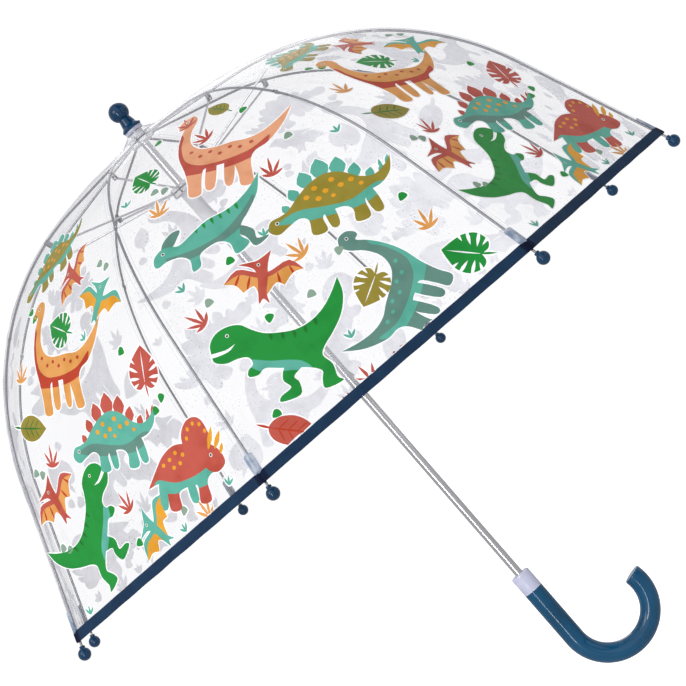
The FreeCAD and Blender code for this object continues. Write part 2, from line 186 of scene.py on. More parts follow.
class Material:
    """A material with a Principled shader, and short ways to add its nodes."""

    def __init__(self, name, **sockets):
        self.data = bpy.data.materials.new(name)
        self.data.use_nodes = True
        self.nodes = self.data.node_tree.nodes
        self.shader = self.nodes["Principled BSDF"]
        self.output = self.nodes["Material Output"]
        for socket, value in sockets.items():
            self.shader.inputs[socket.replace("_", " ")].default_value = value

    def link(self, source, target):
        self.data.node_tree.links.new(source, target)

    def node(self, kind, **settings):
        made = self.nodes.new("ShaderNode" + kind)
        for key, value in settings.items():
            setattr(made, key, value)
        return made

    def position(self, stretch=(1, 1, 1)):
        mapping = self.node("Mapping")
        mapping.inputs["Scale"].default_value = stretch
        self.link(self.node("TexCoord").outputs["Object"], mapping.inputs["Vector"])
        return mapping.outputs["Vector"]

    def noise(self, scale, detail, stretch=(1, 1, 1)):
        made = self.node("TexNoise")
        made.inputs["Scale"].default_value = scale
        made.inputs["Detail"].default_value = detail
        self.link(self.position(stretch), made.inputs["Vector"])
        return made.outputs["Fac"]

    def math(self, operation, first, second=0.0, third=0.0, clamp=False):
        made = self.node("Math", operation=operation, use_clamp=clamp)
        for socket, value in zip(made.inputs, (first, second, third)):
            if isinstance(value, (int, float)):
                socket.default_value = value
            else:
                self.link(value, socket)
        return made.outputs["Value"]

    def between(self, value, low, high, to_low=0.0, to_high=1.0):
        made = self.node("MapRange", interpolation_type="SMOOTHSTEP")
        ends = {"From Min": low, "From Max": high, "To Min": to_low, "To Max": to_high}
        for name, number in ends.items():
            made.inputs[name].default_value = number
        self.link(value, made.inputs["Value"])
        return made.outputs["Result"]

    def mix(self, factor, first, second):
        made = self.node("Mix", data_type="RGBA")
        for name, value in (("Factor", factor), ("A", first), ("B", second)):
            socket = next(s for s in made.inputs if s.name == name and s.enabled)
            if isinstance(value, (int, float, tuple)):
                socket.default_value = value
            else:
                self.link(value, socket)
        return next(s for s in made.outputs if s.enabled)

    def attribute(self, name):
        return self.node("Attribute", attribute_name=name)

    def bump(self, height, strength, distance):
        made = self.node("Bump")
        made.inputs["Strength"].default_value = strength
        made.inputs["Distance"].default_value = distance
        self.link(height, made.inputs["Height"])
        self.link(made.outputs["Normal"], self.shader.inputs["Normal"])

    def set(self, socket, source):
        self.link(source, self.shader.inputs[socket])

    def see_through(self, amount, tint):
        """Lets what is behind show, tinted, apart from the share that amount covers."""
        clear = self.node("BsdfTransparent")
        clear.inputs["Color"].default_value = tint
        mixed = self.node("MixShader")
        self.link(amount, mixed.inputs["Fac"])
        self.link(clear.outputs["BSDF"], mixed.inputs[1])
        self.link(self.shader.outputs["BSDF"], mixed.inputs[2])
        self.link(mixed.outputs["Shader"], self.output.inputs["Surface"])


def film_material():
    """Clear soft film: nearly all of it shows what is behind, with welds beside each rib and a
    painted grey shade where it is seen edge on.
    """
    weld_places = (1.3 * MM, 4.6 * MM)
    # how strongly each of these covers what is behind the film
    head_on, edge, clouding, creasing, specks, weld = 0.03, 0.50, 0.05, 0.10, 0.28, 0.16
    film = Material("clear_film", Roughness=0.12, IOR=1.5, Specular_IOR_Level=0.6)
    cloud = film.noise(9.0, 4.0)
    crease = film.noise(34.0, 5.0, (1, 1, 0.35))
    dots = film.node("TexVoronoi", feature="F1")
    dots.inputs["Scale"].default_value = 210.0
    film.link(film.position(), dots.inputs["Vector"])
    patches = film.between(film.noise(16.0, 2.0), 0.5, 0.64)
    speck = film.math("MULTIPLY", film.between(dots.outputs["Distance"], 0.30, 0.12), patches)
    from_rib = film.attribute("from_rib").outputs["Fac"]
    welds = None
    for place in weld_places:
        gap = film.math("ABSOLUTE", film.math("SUBTRACT", from_rib, place))
        line = film.between(gap, 0.2 * MM, 0.65 * MM, 1.0, 0.0)
        welds = line if welds is None else film.math("MAXIMUM", welds, line)
    facing = film.node("LayerWeight")
    facing.inputs["Blend"].default_value = 0.32
    edge_on = film.math("POWER", facing.outputs["Facing"], 2.2)
    amount = film.math("MULTIPLY_ADD", edge_on, edge, head_on)
    amount = film.math("MULTIPLY_ADD", film.between(cloud, 0.42, 0.72), clouding, amount)
    amount = film.math("MULTIPLY_ADD", film.between(crease, 0.56, 0.70), creasing, amount)
    amount = film.math("MULTIPLY_ADD", speck, specks, amount)
    amount = film.math("MULTIPLY_ADD", welds, weld, amount, clamp=True)
    # The colour turns grey where the film is seen edge on, which is painted shade; the weld lines
    # take the same grey as their own colour.
    pale, shade = linear((0.97, 0.97, 0.98)), linear((0.74, 0.75, 0.80))
    film.set("Base Color", film.mix(film.math("MAXIMUM", edge_on, welds), pale, shade))
    film.set("Roughness", film.between(cloud, 0.3, 0.8, 0.08, 0.24))
    relief = film.math("MULTIPLY_ADD", welds, 0.8, film.math("ADD", crease, speck))
    film.bump(relief, 0.35, 0.6 * MM)
    film.see_through(amount, linear((0.99, 0.99, 0.994)))
    return film.data


def ink_material():
    """Screen-printed ink, coloured by the mesh; its alpha marks the white layer, which glows."""
    glow = 0.20
    ink = Material("print_ink", Roughness=0.42, Specular_IOR_Level=0.35)
    printed = ink.attribute("ink")
    colour = printed.outputs["Color"]
    mottle = ink.noise(420.0, 4.0)
    darker = ink.node("HueSaturation")
    darker.inputs["Value"].default_value = 0.84
    darker.inputs["Saturation"].default_value = 1.05
    ink.link(colour, darker.inputs["Color"])
    uneven = ink.between(ink.noise(55.0, 4.0), 0.40, 0.75)
    ink.set("Base Color", ink.mix(uneven, colour, darker.outputs["Color"]))
    ink.set("Roughness", ink.between(mottle, 0.3, 0.7, 0.34, 0.52))
    ink.bump(mottle, 0.18, 0.2 * MM)
    ink.shader.inputs["Emission Color"].default_value = (1, 1, 1, 1)
    ink.set("Emission Strength", ink.math("MULTIPLY", printed.outputs["Alpha"], glow))
    return ink.data


def plastic_material(name, display, roughness, coat=0.0, grain=0.06):
    plastic = Material(
        name, Roughness=roughness, Coat_Weight=coat, Coat_Roughness=0.04, Specular_IOR_Level=0.1,
    )
    base = linear(display)
    deep = tuple(0.72 * c for c in base[:3]) + (1.0,)
    uneven = plastic.between(plastic.noise(30.0, 3.0), 0.35, 0.75)
    plastic.set("Base Color", plastic.mix(uneven, base, deep))
    fine = plastic.noise(900.0, 2.0)
    plastic.set("Roughness", plastic.between(fine, 0.2, 0.8, roughness * 0.85, roughness * 1.25))
    plastic.bump(fine, grain, 0.1 * MM)
    return plastic.data


def metal_material(name, display, roughness, stretch):
    """Drawn or plated metal, with scratches that run where stretch is small."""
    metal = Material(name, Metallic=1.0, Roughness=roughness)
    base = linear(display)
    dull = tuple(0.82 * c for c in base[:3]) + (1.0,)
    scratches = metal.noise(400.0, 3.0, stretch)
    metal.set("Base Color", metal.mix(metal.between(scratches, 0.45, 0.8), base, dull))
    metal.set("Roughness", metal.between(scratches, 0.3, 0.8, roughness * 0.7, roughness * 1.5))
    metal.bump(scratches, 0.03, 0.02 * MM)
    return metal.data


def translucent_material(name, display, amount):
    """Milky plastic that lets some of what is behind it show."""
    uneven = 0.08
    milky = Material(name, Roughness=0.25, Coat_Weight=0.4, Coat_Roughness=0.08)
    base = linear(display)
    pale = tuple(0.5 + 0.5 * c for c in base[:3]) + (1.0,)
    cloud = milky.noise(120.0, 3.0)
    milky.set("Base Color", milky.mix(milky.between(cloud, 0.35, 0.7), base, pale))
    milky.bump(milky.noise(500.0, 3.0), 0.2, 0.1 * MM)
    cover = milky.between(cloud, 0.2, 0.8, amount - uneven, amount + uneven)
    milky.see_through(cover, linear((0.95, 0.96, 1)))
    return milky.data


def tape_material():
    """Navy woven tape: a fine weave, lighter where worn, and darker within 5 to 7 mm of each rib."""
    warp_pitch, weft_pitch = 0.9 * MM, 0.7 * MM
    tape = Material("hem_binding", Roughness=0.7, Specular_IOR_Level=0.2)
    along = tape.attribute("along").outputs["Fac"]
    around = tape.attribute("around").outputs["Fac"]
    warp = tape.math("SINE", tape.math("MULTIPLY", along, 2 * math.pi / warp_pitch))
    weft = tape.math("SINE", tape.math("MULTIPLY", around, 2 * math.pi / weft_pitch))
    weave = tape.math("MULTIPLY_ADD", tape.math("MULTIPLY", warp, weft), 0.5, 0.5)
    worn = tape.between(tape.noise(60.0, 4.0), 0.35, 0.75)
    navy, light = linear((0.04, 0.15, 0.27)), linear((0.12, 0.26, 0.38))
    lit = tape.math("MULTIPLY_ADD", weave, 0.45, tape.math("MULTIPLY", worn, 0.3), clamp=True)
    near_rib = tape.between(tape.attribute("from_rib").outputs["Fac"], 5 * MM, 7 * MM, 1.0, 0.0)
    dark = linear((0.0, 0.07, 0.20))
    tape.set("Base Color", tape.mix(near_rib, tape.mix(lit, navy, light), dark))
    tape.bump(weave, 0.5, 0.25 * MM)
    return tape.data


# ---- print: outlines, in millimetres, facing left, feet down -----------------------------
def smooth(points, steps=4):
    """Closed Catmull-Rom outline through the points; a point given twice makes a corner."""
    outline = []
    count = len(points)
    for i in range(count):
        p0, p1, p2, p3 = (points[(i + k) % count] for k in (-1, 0, 1, 2))
        if p1 == p2:
            continue
        for step in range(steps):
            h = step / steps
            weights = (
                -0.5 * h + h**2 - 0.5 * h**3,
                1 - 2.5 * h**2 + 1.5 * h**3,
                0.5 * h + 2 * h**2 - 1.5 * h**3,
                -0.5 * h**2 + 0.5 * h**3,
            )
            mixed = zip(weights, (p0, p1, p2, p3))
            terms = [(w * p[0], w * p[1]) for w, p in mixed]
            outline.append((sum(t[0] for t in terms), sum(t[1] for t in terms)))
    return outline


def oval(x, y, width, height, points=12):
    turns = [2 * math.pi * i / points for i in range(points)]
    return [(x + width / 2 * math.cos(a), y + height / 2 * math.sin(a)) for a in turns]


def blade(x, y, length, width, angle):
    """Pointed blade from its foot at (x, y), leaning angle degrees right of upright."""
    along = (math.sin(math.radians(angle)), math.cos(math.radians(angle)))
    marks = [(0, 0.3), (0.25, 0.8), (0.5, 1), (0.75, 0.65), (1, 0), (0.75, -0.65)]
    marks += [(0.5, -1), (0.25, -0.8), (0, -0.3)]
    outline = []
    for far, side in marks:
        a, b = far * length, side * width / 2
        outline.append((x + a * along[0] - b * along[1], y + a * along[1] + b * along[0]))
    return outline


def spots(ink, places, size):
    return [(ink, oval(x, y, size, size * 0.85), True) for x, y in places]


def eye(x, y):
    return [("eye_white", oval(x, y, 3.4, 3.4), False), ("dark", oval(x, y, 2.0, 2.2), False)]


def long_neck(main, shade, mark):
    body = [
        (-43, 51), (-41, 58), (-34, 62), (-27, 59), (-25, 50), (-28, 36), (-26, 21), (-17, 10),
        (-3, 6), (14, 6), (28, 5), (41, 9), (53, 18), (65, 31), (65, 31), (58, 12), (46, -4),
        (35, -10), (31, -18), (32, -31), (33, -42), (23, -43), (20, -30), (14, -17), (-2, -16),
        (-11, -17), (-12, -31), (-12, -43), (-22, -43), (-24, -30), (-28, -14), (-35, 4),
        (-38, 20), (-38, 36), (-36, 47), (-41, 47),
    ]
    far_legs = [
        [(-8, -12), (0, -12), (0, -38), (-8, -38)],
        [(8, -12), (16, -12), (16, -38), (9, -38)],
    ]
    belly = [(-42, 38), (-35, 34), (-35, 20), (-29, 0), (-16, -10), (0, -12), (16, -11), (32, -7)]
    belly += [(47, 3), (40, -12), (16, -20), (-16, -20), (-34, -14), (-46, 12)]
    drawn = [(main, smooth(leg), False) for leg in far_legs]
    drawn += [(main, smooth(body), False), (shade, smooth(belly), True)]
    drawn += spots(mark, [(-15, 0), (-6, 2), (3, -3), (12, 1), (21, -2), (31, 0), (-24, 8)], 4.0)
    return drawn + eye(-35, 55)


def plate_backed(main, plates, mark, under):
    """A stegosaurus-like grazer with leaf-shaped back plates."""
    body = [
        (-54, -18), (-51, -10), (-43, -8), (-35, -5), (-26, 3), (-14, 12), (0, 17), (14, 14),
        (26, 6), (38, 3), (48, 8), (55, 16), (55, 16), (52, 3), (43, -6), (31, -10), (26, -17),
        (27, -31), (15, -32), (15, -21), (8, -16), (-6, -17), (-10, -21), (-9, -32), (-21, -32),
        (-21, -19), (-28, -15), (-38, -19), (-47, -23),
    ]
    far_legs = [
        [(-8, -10), (0, -12), (2, -29), (-5, -30)],
        [(26, -8), (34, -8), (39, -27), (31, -28)],
    ]
    belly = [(-46, -14), (-28, -8), (-6, -11), (16, -12), (38, -4), (46, -8), (26, -19)]
    belly += [(-6, -20), (-30, -18)]
    feet = [(-34, -7, 9), (-25, 1, 13), (-14, 9, 17), (-1, 13, 20), (12, 11, 18), (23, 5, 14)]
    feet += [(34, 1, 10), (44, 3, 7)]
    drawn = [(main, smooth(leg), False) for leg in far_legs]
    for i, (x, y, high) in enumerate(feet):
        drawn.append((plates, blade(x, y, high, 0.78 * high, -32 + 9 * i), False))
    drawn += [(plates, blade(50, 8, 10, 3, 20), False), (plates, blade(46, 6, 9, 3, -5), False)]
    drawn += [(main, smooth(body), False), (under, smooth(belly), True)]
    drawn += spots(mark, [(-18, 1), (-10, 7), (-2, 2), (5, 10), (11, 3), (20, 5), (-9, -3)], 5)
    drawn += spots(mark, [(3, -4), (27, -1)], 4)
    return drawn + eye(-46, -13)


def duck_bill(main, shade, mark):
    """A crested plant eater on two legs."""
    body = [
        (-57, 0), (-54, 7), (-46, 11), (-38, 9), (-30, 5), (-16, 9), (0, 13), (16, 12),
        (30, 14), (45, 21), (58, 31), (58, 31), (49, 13), (35, 0), (25, -7), (19, -17),
        (23, -27), (9, -31), (8, -19), (0, -12), (-13, -12), (-19, -15), (-22, -24), (-30, -25),
        (-28, -14), (-33, -7), (-40, -4), (-47, -3), (-55, -4),
    ]
    crest = [(-46, 8), (-42, 16), (-32, 21), (-24, 19), (-30, 12), (-37, 7)]
    far = [(10, -6), (22, -8), (31, -18), (30, -27), (40, -30), (26, -33), (22, -20)]
    belly = [(-46, 0), (-32, -4), (-14, -7), (8, -6), (30, 3), (46, 13), (32, -6), (10, -13)]
    belly += [(-16, -14), (-38, -10)]
    drawn = [(shade, smooth(far), False), (shade, smooth(crest), False)]
    drawn += [(main, smooth(body), False), (shade, smooth(belly), True)]
    drawn += [(mark, blade(x, 15, 9, 3, 180), True) for x in (-12, -4, 4, 12, 20, 28)]
    return drawn + eye(-46, 6)


def big_jaw(main, shade, mark):
    """A tyrannosaur-like hunter, striding."""
    body = [
        (-61, 15), (-60, 25), (-53, 33), (-42, 36), (-31, 34), (-23, 27), (-13, 20), (0, 16),
        (14, 14), (28, 17), (41, 25), (52, 37), (60, 49), (60, 49), (61, 33), (55, 16), (44, 2),
        (34, -8), (30, -16), (36, -26), (37, -38), (41, -43), (25, -45), (24, -37), (26, -29),
        (17, -23), (5, -19), (-8, -15), (-20, -11), (-27, -15), (-35, -14), (-34, -8),
        (-29, -4), (-31, 3), (-40, 5), (-51, 4), (-60, 8),
    ]
    far_leg = [(-2, -14), (-8, -26), (-3, -35), (-13, -40), (-14, -45), (3, -44), (5, -33)]
    far_leg += [(2, -26), (12, -18)]
    belly = [(-38, 3), (-28, 0), (-14, -6), (0, -10), (12, -15), (18, -24), (0, -20), (-22, -14)]
    belly += [(-34, -3)]
    mouth = [(-63, 16), (-48, 16), (-39, 19), (-39, 19), (-47, 13.5), (-62, 12.5)]
    drawn = [(main, smooth(far_leg), False), (main, smooth(body), False)]
    drawn += [(shade, smooth(belly), True), ("clear", smooth(mouth), False)]
    backbone = ((-8, 20), (2, 17), (12, 15), (22, 16), (32, 20))
    drawn += [(mark, blade(x, y, 9, 3.4, 180), True) for x, y in backbone]
    return drawn + eye(-44, 28)


def three_horned(main, shade, mark):
    body = [
        (-45, -9), (-41, 1), (-33, 6), (-21, 8), (-8, 13), (8, 15), (22, 10), (33, 1), (48, -13),
        (48, -13), (33, -11), (27, -17), (28, -34), (15, -35), (14, -23), (4, -20), (-8, -21),
        (-7, -35), (-20, -35), (-20, -21), (-27, -15), (-36, -15),
    ]
    frill = [(-13, -7), (-5, 5), (-3, 19), (-10, 29), (-20, 32), (-29, 28), (-34, 16), (-33, 3)]
    frill += [(-26, -7)]
    far_legs = [
        [(-4, -12), (3, -13), (2, -32), (-6, -32)],
        [(26, -10), (34, -10), (38, -30), (30, -31)],
    ]
    belly = [(-30, -9), (-8, -13), (14, -14), (34, -8), (40, -14), (20, -22), (-24, -22)]
    face = [(-45, -9), (-41, 1), (-33, 7), (-24, 6), (-20, -4), (-26, -13), (-36, -15)]
    drawn = [(shade, smooth(leg), False) for leg in far_legs]
    drawn += [(main, smooth(body), False), (shade, smooth(belly), True)]
    drawn += [(main, smooth(frill), False)]
    drawn += [(mark, oval(-20 + 11 * math.cos(a), 16 + 11 * math.sin(a), 3.6, 3.6), False)
              for a in (0.1, 0.8, 1.5, 2.2, 2.9)]
    drawn += [(main, smooth(face), False)]
    drawn += [(mark, blade(-30, 4, 19, 5, -28), False), (mark, blade(-37, 3, 16, 5, -38), False)]
    drawn += [(mark, blade(-42, -2, 9, 4, -30), False)]
    drawn += spots(mark, [(0, 6), (8, 9), (16, 5), (24, 2), (5, 0), (13, -2)], 4.2)
    return drawn + eye(-31, -1)


def winged(main, membrane, mark):
    """A pterosaur with its wings spread."""
    wing = [
        (-37, 1), (-37, 1), (-25, 14), (-8, 11), (0, 8), (9, 12), (25, 21), (39, 12), (39, 12),
        (29, 9), (21, -3), (21, -3), (13, 0), (5, -11), (5, -11), (-3, -12), (-3, -12), (-8, -2),
        (-18, -8), (-18, -8), (-26, 0),
    ]
    arms = [
        [(-37, 1), (-37, 1), (-25, 15), (-8, 12), (0, 9), (0, 5), (-9, 7), (-23, 10)],
        [(39, 12), (39, 12), (25, 22), (9, 13), (0, 9), (0, 5), (10, 8), (24, 16)],
    ]
    body = [(-24, 20), (-24, 20), (-11, 22), (-4, 24), (8, 33), (8, 33), (5, 20), (5, 4), (4, -10)]
    body += [(7, -20), (1, -15), (-3, -20), (-4, -8), (-5, 8), (-10, 16)]
    drawn = [(membrane, smooth(wing, 3), False)]
    drawn += [(mark, blade(x, y, 15, 2.6, a), True)
              for x, y, a in ((-22, 10, 200), (-12, 8, 190), (14, 10, 165), (25, 16, 150))]
    drawn += [(main, smooth(arm, 3), False) for arm in arms]
    return drawn + [(main, smooth(body, 3), False)] + eye(-4, 19)


def split_leaf(main):
    """A heart-shaped leaf, tip up, with slits between its lobes."""
    half = [(7, 12), (13, 5), (15, -4), (11, -12), (5, -14)]
    outline = [(0, 18), (0, 18)] + half + [(0, -10), (0, -10)] + [(-x, y) for x, y in half[::-1]]
    drawn = [(main, smooth(outline), False), (main, blade(0, -8, 13, 1.8, 172), False)]
    slit_foot, slit_drop = 16.66, 8.5
    for side in (-1, 1):
        for y, angle in ((7, 48), (0, 66), (-6, 88), (-11, 118)):
            foot_y = y + slit_drop * math.cos(math.radians(angle))
            slit = blade(slit_foot * side, foot_y, 12, 2.6, side * (angle + 180))
            drawn.append(("clear", slit, False))
    return drawn + [("clear", blade(0, -9, 24, 1.1, 0), False)]


def veined_leaf(main, vein):
    half = [(8, 11), (11, 0), (8, -11)]
    outline = [(0, 21), (0, 21)] + half + [(0, -16)] + [(-x, y) for x, y in half[::-1]]
    drawn = [(vein, blade(0, -14, 12, 2, 186), False), (main, smooth(outline), False)]
    drawn.append((vein, blade(0, -16, 34, 1.6, 0), True))
    for y in (-9, -2, 5):
        drawn += [(vein, blade(0, y, 11, 1.2, a), True) for a in (-52, 52)]
    return drawn


def tuft(main):
    leans = ((-70, 10), (-38, 16), (-6, 20), (28, 17), (62, 11))
    return [(main, blade(0, -8, length, 2.9, lean), False) for lean, length in leans]


def sprout(main):
    return [(main, blade(0, -4, 8, 2.2, lean), False) for lean in (-42, 0, 42)]


def pebble(main):
    return [(main, smooth([(-3.6, -2.6), (-1.2, 3.4), (2.6, 2.6), (3.8, -2.4)], 3), False)]


# ---- print: inks and layout ----------------------------------------------------------------
INKS = {
    "orange": (0.90, 0.63, 0.33),
    "salmon": (0.93, 0.66, 0.50),
    "dark_red": (0.74, 0.22, 0.08),
    "red": (0.76, 0.33, 0.27),
    "olive": (0.60, 0.54, 0.18),
    "teal": (0.36, 0.70, 0.62),
    "grey_teal": (0.38, 0.55, 0.50),
    "green": (0.05, 0.57, 0.20),
    "deep_green": (0.02, 0.45, 0.12),
    "sage": (0.55, 0.66, 0.58),
    "yellow": (0.92, 0.64, 0.12),
    "eye_white": (0.96, 0.96, 0.94),
    "dark": (0.08, 0.09, 0.12),
    "under_print": (0.96, 0.96, 0.97),
}
HALO = 1.1  # how far the white layer shows round the inks, in the drawings' millimetres
UNDER_PRINT_OUT = 0.30 * MM
INK_OUT = 0.48 * MM
COLUMN_CUT = 9 * MM
EDGE_CLEARANCE = 1.5 * MM
# each filler is turned this many degrees further than the one before, within the spread
FILLER_TURN_STEP = 37
FILLER_TURN_SPREAD = 60

GREEN_LEAF = split_leaf("green")
OLIVE_LEAF = split_leaf("olive")
RED_SPLIT_LEAF = split_leaf("red")
OLIVE_VEINED = veined_leaf("olive", "deep_green")
RED_VEINED = veined_leaf("red", "dark_red")

# (drawing, share of the way from crown to rim, share across, turn anticlockwise, scale);
# a negative scale faces right
ANIMALS = {
    1: [
        (plate_backed("olive", "teal", "yellow", "teal"), 0.39, -0.08, 5, 0.82),
        (winged("red", "orange", "dark_red"), 0.48, 0.34, 35, 0.75),
        (winged("teal", "yellow", "orange"), 0.565, 0.52, -45, 0.8),
        (long_neck("orange", "dark_red", "dark_red"), 0.59, -0.14, -22, 0.95),
        (GREEN_LEAF, 0.545, 0.0, 45, 1.0),
        (OLIVE_VEINED, 0.645, -0.66, -120, 1.0),
        (RED_SPLIT_LEAF, 0.71, 0.65, -25, 1.1),
        (plate_backed("teal", "red", "yellow", "grey_teal"), 0.75, 0.12, -25, 0.98),
        (three_horned("red", "teal", "yellow"), 0.87, 0.55, -18, -1.0),
        (big_jaw("green", "teal", "deep_green"), 0.855, -0.44, 27, -0.88),
        (winged("red", "orange", "dark_red"), 0.78, -0.68, 5, 0.85),
        (winged("teal", "yellow", "orange"), 0.93, 0.08, 27, 0.8),
    ],
    2: [
        (OLIVE_VEINED, 0.39, 0.57, 20, 0.72),
        (long_neck("salmon", "red", "red"), 0.485, 0.16, -36, 1.0),
        (GREEN_LEAF, 0.415, -0.52, 10, 0.9),
        (duck_bill("teal", "grey_teal", "green"), 0.61, -0.32, -13, 0.95),
        (plate_backed("olive", "teal", "yellow", "teal"), 0.69, 0.46, -25, 1.0),
        (winged("red", "orange", "dark_red"), 0.735, -0.29, -40, 0.85),
        (big_jaw("green", "teal", "deep_green"), 0.84, -0.45, -25, 0.92),
        (OLIVE_LEAF, 0.855, 0.20, 120, 1.0),
        (long_neck("grey_teal", "teal", "teal"), 0.885, 0.30, 34, -0.92),
        (GREEN_LEAF, 0.915, 0.74, 40, 1.15),
        (RED_VEINED, 0.945, -0.71, -140, 1.1),
    ],
}
# (drawing, places), each place a share of the way from crown to rim and a share across
FILLERS = {
    1: [
        (tuft("orange"), ((0.55, -0.65), (0.95, 0.5))),
        (tuft("red"), ((0.71, -0.55), (0.855, -0.07))),
        (sprout("teal"), ((0.94, 0.78), (0.95, 0.28), (0.95, -0.78), (0.59, 0.25))),
        (pebble("green"), (
            (0.46, -0.45), (0.48, -0.38), (0.66, 0.55), (0.765, 0.66), (0.775, 0.56), (0.92, -0.12),
        )),
        (pebble("sage"), (
            (0.50, 0.7), (0.515, 0.76), (0.71, -0.78), (0.72, -0.72), (0.84, -0.8), (0.85, -0.74),
            (0.93, 0.35),
        )),
    ],
    2: [
        (tuft("red"), ((0.59, 0.33), (0.43, 0.20), (0.36, 0.25), (0.71, -0.78), (0.96, -0.17))),
        (tuft("orange"), ((0.50, -0.55), (0.73, 0.03), (0.83, 0.74))),
        (sprout("teal"), (
            (0.67, -0.05), (0.65, -0.75), (0.89, -0.09), (0.97, -0.5), (0.61, 0.87), (0.43, -0.8),
        )),
        (pebble("green"), (
            (0.34, -0.15), (0.44, 0.65), (0.67, -0.36), (0.785, -0.40), (0.775, 0.76), (0.91, -0.72),
        )),
        (pebble("sage"), (
            (0.46, -0.5), (0.475, -0.42), (0.56, 0.62), (0.775, 0.22), (0.70, -0.65), (0.80, -0.10),
        )),
    ],
}


def laid(outline, share_along, share_across, turn, scale):
    """Outline on the flat panel: metres to the right of its middle, metres from the crown."""
    s0 = share_along * RIB_LENGTH
    y0 = share_across * half_width(s0)
    c, n = math.cos(math.radians(turn)), math.sin(math.radians(turn))
    points = []
    for x, y in outline:
        a, b = x * scale * MM, y * abs(scale) * MM
        points.append((y0 + a * c - b * n, s0 - a * n - b * c))
    return points


def runs_anticlockwise(outline):
    area = sum(
        outline[i - 1][0] * outline[i][1] - outline[i][0] * outline[i - 1][1]
        for i in range(len(outline))
    )
    return area > 0


def grown(outline, distance):
    """The outline moved outwards all round by distance."""
    count = len(outline)
    side = distance if runs_anticlockwise(outline) else -distance
    moved = []
    for i in range(count):
        before, here, after = outline[i - 1], outline[i], outline[(i + 1) % count]
        across = Vector((after[1] - before[1], before[0] - after[0]))
        if across.length > 0:
            across.normalize()
        moved.append((here[0] + across.x * side, here[1] + across.y * side))
    return moved


def flat_cells(shapes, cut_rows):
    """Triangles of overlapping shapes cut along rows and columns: (corners, ink).

    The last shape at a place sets its ink; one marked as inside only tints ink already there.
    """
    points, faces, lines = [], [], []
    for _, outline, _ in shapes:
        ordered = outline if runs_anticlockwise(outline) else outline[::-1]
        faces.append(list(range(len(points), len(points) + len(ordered))))
        points += [Vector(p) for p in ordered]
    low = Vector((min(p.x for p in points), min(p.y for p in points)))
    high = Vector((max(p.x for p in points), max(p.y for p in points)))
    for row in cut_rows:
        if low.y < row < high.y:
            lines.append((len(points), len(points) + 1))
            points += [Vector((low.x - MM, row)), Vector((high.x + MM, row))]
    for i in range(math.ceil(low.x / COLUMN_CUT), math.floor(high.x / COLUMN_CUT) + 1):
        lines.append((len(points), len(points) + 1))
        points += [Vector((i * COLUMN_CUT, low.y - MM)), Vector((i * COLUMN_CUT, high.y + MM))]
    corners, _, cells, _, _, owners = delaunay_2d_cdt(points, lines, faces, 0, 1e-7)
    found = []
    for cell, owner in zip(cells, owners):
        ink = None
        for index in sorted(owner):
            name, _, inside = shapes[index]
            if not inside or ink not in (None, "clear"):
                ink = name
        if ink not in (None, "clear"):
            found.append(([tuple(corners[k]) for k in cell], ink))
    return found


def inside_panel(corners):
    """Whether a cell lies on the panel, clear of the welds, the hem and the crown."""
    y = sum(p[0] for p in corners) / 3
    s = sum(p[1] for p in corners) / 3
    return FILM_START < s < FILM_END - HEM_WIDTH and abs(y) < half_width(s) - EDGE_CLEARANCE


def print_cells(design, cut_rows):
    """Every printed triangle of a panel design: (corners, ink, how far out it lies)."""
    drawn = list(ANIMALS[design])
    for drawing, places in FILLERS[design]:
        for i, (along, across) in enumerate(places):
            turn = FILLER_TURN_STEP * i % FILLER_TURN_SPREAD - FILLER_TURN_SPREAD / 2
            drawn.append((drawing, along, across, turn, 1.0))
    found = []
    for drawing, *place in drawn:
        top = [(ink, laid(outline, *place), inside) for ink, outline, inside in drawing]
        under = [
            ("under_print", laid(grown(outline, HALO), *place), False)
            for ink, outline, inside in drawing
            if not inside and ink != "clear"
        ]
        for shapes, out in ((under, UNDER_PRINT_OUT), (top, INK_OUT)):
            cells = flat_cells(shapes, cut_rows)
            found += [(c, ink, out) for c, ink in cells if inside_panel(c)]
    return found


# ---- meshes --------------------------------------------------------------------------------
COLUMNS = 28
ROW = 6 * MM


def new_piece(name, points, faces, material):
    mesh = bpy.data.meshes.new(name)
    mesh.from_pydata(points, [], faces)
    mesh.materials.append(material)
    mesh.shade_smooth()
    piece = bpy.data.objects.new(name, mesh)
    bpy.context.scene.collection.objects.link(piece)
    return piece


def grid_faces(rows, columns, closed=False):
    """Quads of a grid of points stored row by row; closed joins the last column to the first."""
    spans = columns if closed else columns - 1
    return [
        (r * columns + c, (r + 1) * columns + c, (r + 1) * columns + (c + 1) % columns,
         r * columns + (c + 1) % columns)
        for r in range(rows - 1)
        for c in range(spans)
    ]


def give_attribute(piece, name, values):
    piece.data.attributes.new(name, "FLOAT", "POINT").data.foreach_set("value", values)


def stations(start, end):
    count = max(1, round((end - start) / ROW))
    return [start + (end - start) * i / count for i in range(count + 1)]


def film_normal(s, u, gore):
    step_s, step_u = 1 * MM, 0.01
    low, high = max(s - step_s, 0.0), s + step_s
    left, right = max(u - step_u, -1.0), min(u + step_u, 1.0)
    across = film_point(s, right, gore) - film_point(s, left, gore)
    down = film_point(high, u, gore) - film_point(low, u, gore)
    return down.cross(across).normalized()


def bands():
    """(number, body's name without its number, start, end, share kept) of each film band."""
    found, start = [], FILM_START
    for body, group in (("gore", UPPER_BANDS), ("lower_gore", LOWER_BANDS)):
        for end, keep in group:
            found.append((len(found) + 1, body, start, end, keep))
            start = end
    return found


def fold_with(piece, gore, body):
    """The piece rides on its panel, with a mesh of its own."""
    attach(piece, f"{body}_{gore + 1}")
    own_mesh(piece)


